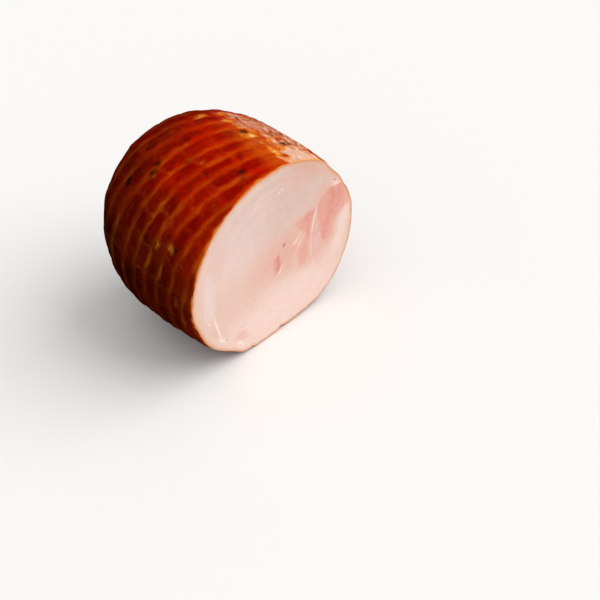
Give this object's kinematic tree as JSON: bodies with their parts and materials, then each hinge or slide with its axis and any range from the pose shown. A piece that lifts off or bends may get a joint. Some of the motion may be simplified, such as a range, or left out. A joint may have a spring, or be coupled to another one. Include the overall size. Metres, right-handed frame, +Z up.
{
  "type": "half grilled ham",
  "caption": "Rounded half of a boneless grilled ham with net marks sunk in its browned skin and a flat, pale pink cut face.",
  "frame": {"origin": "middle of the underside of the bounding box, on the surface that the ham rests on", "axes": "+Z up; the flat cut face looks along -Y and the rounded end along +Y; X runs across the cut face"},
  "size_m": [0.1632, 0.1214, 0.1506],
  "materials": {
    "grilled_skin": "browned, satin to greasy gloss, with a matt pale pink cut face"
  },
  "bodies": {
    "root": {"ham": "grilled_skin"}
  },
  "joints": []
}
